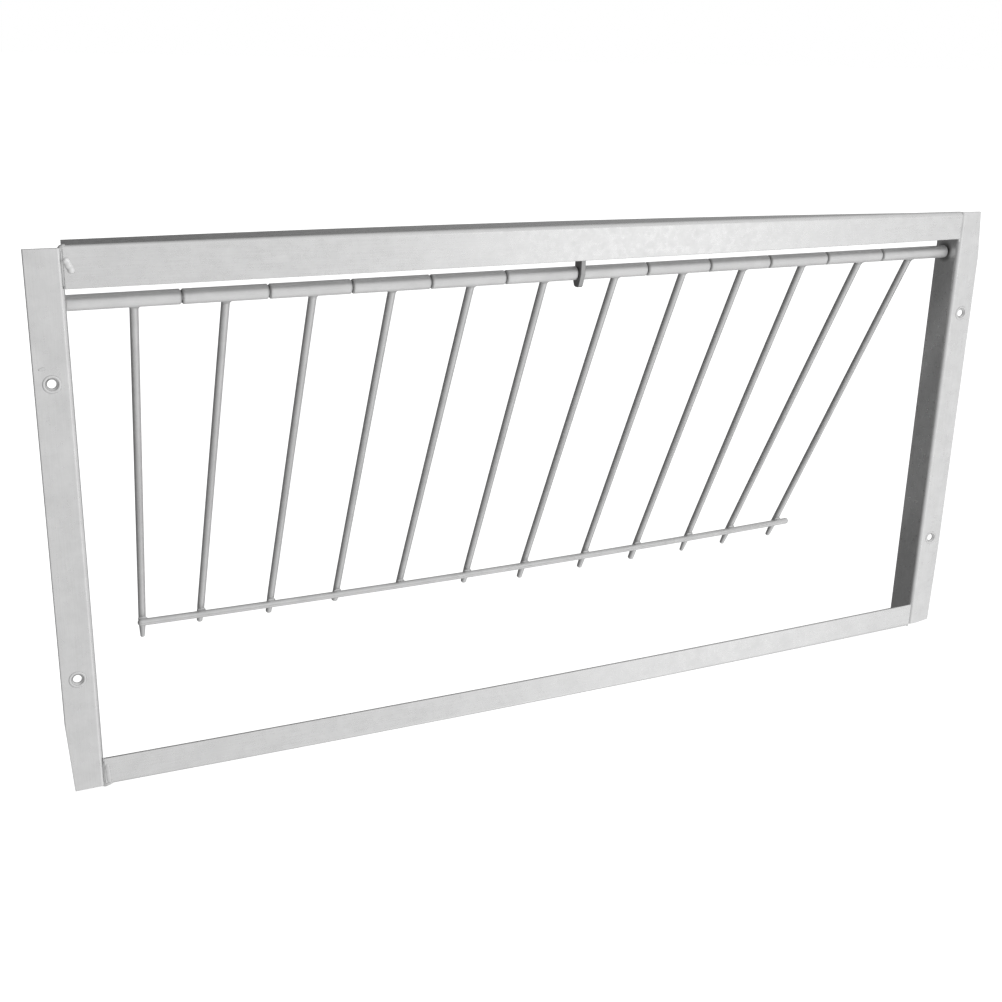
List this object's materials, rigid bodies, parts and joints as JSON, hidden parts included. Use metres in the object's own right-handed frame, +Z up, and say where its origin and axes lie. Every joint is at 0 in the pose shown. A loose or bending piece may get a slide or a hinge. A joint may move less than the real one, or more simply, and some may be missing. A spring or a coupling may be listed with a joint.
{
  "type": "one-way entrance grille",
  "caption": "Folded sheet frame with a row of round wires on short sleeves, tied by a crossbar, that swings inwards about a rod under the top rail.",
  "frame": {"origin": "middle of the four screw holes, on the plane where the backs of the frame's front flanges lie against the wall", "axes": "+X along the rails, +Y through the wall away from the screw heads, +Z up"},
  "size_m": [0.6, 0.1256, 0.2963],
  "materials": {
    "frame_sheet": "zinc-coated sheet, dull and faintly mottled",
    "rod_steel": "zinc-coated rod, satin",
    "sleeve_steel": "zinc-coated tube, satin",
    "wire_steel": "zinc-coated wire, satin"
  },
  "bodies": {
    "frame": {"left_stile": "frame_sheet", "right_stile": "frame_sheet", "top_rail": "frame_sheet", "bottom_rail": "frame_sheet", "hinge_rod": "rod_steel", "rod_lug": "rod_steel"},
    "grille": {"sleeve_01": "sleeve_steel", "sleeve_02": "sleeve_steel", "sleeve_03": "sleeve_steel", "sleeve_04": "sleeve_steel", "sleeve_05": "sleeve_steel", "sleeve_06": "sleeve_steel", "sleeve_07": "sleeve_steel", "sleeve_08": "sleeve_steel", "sleeve_09": "sleeve_steel", "sleeve_10": "sleeve_steel", "sleeve_11": "sleeve_steel", "sleeve_12": "sleeve_steel", "wire_01": "wire_steel", "wire_02": "wire_steel", "wire_03": "wire_steel", "wire_04": "wire_steel", "wire_05": "wire_steel", "wire_06": "wire_steel", "wire_07": "wire_steel", "wire_08": "wire_steel", "wire_09": "wire_steel", "wire_10": "wire_steel", "wire_11": "wire_steel", "wire_12": "wire_steel", "crossbar": "wire_steel"}
  },
  "joints": [
    {"name": "grille_swing", "type": "hinge", "parent": "frame", "child": "grille", "pos_m": [0, 0.0105, 0.1186], "axis": [1, 0, 0.0044], "range_deg": [-27, 128]}
  ]
}
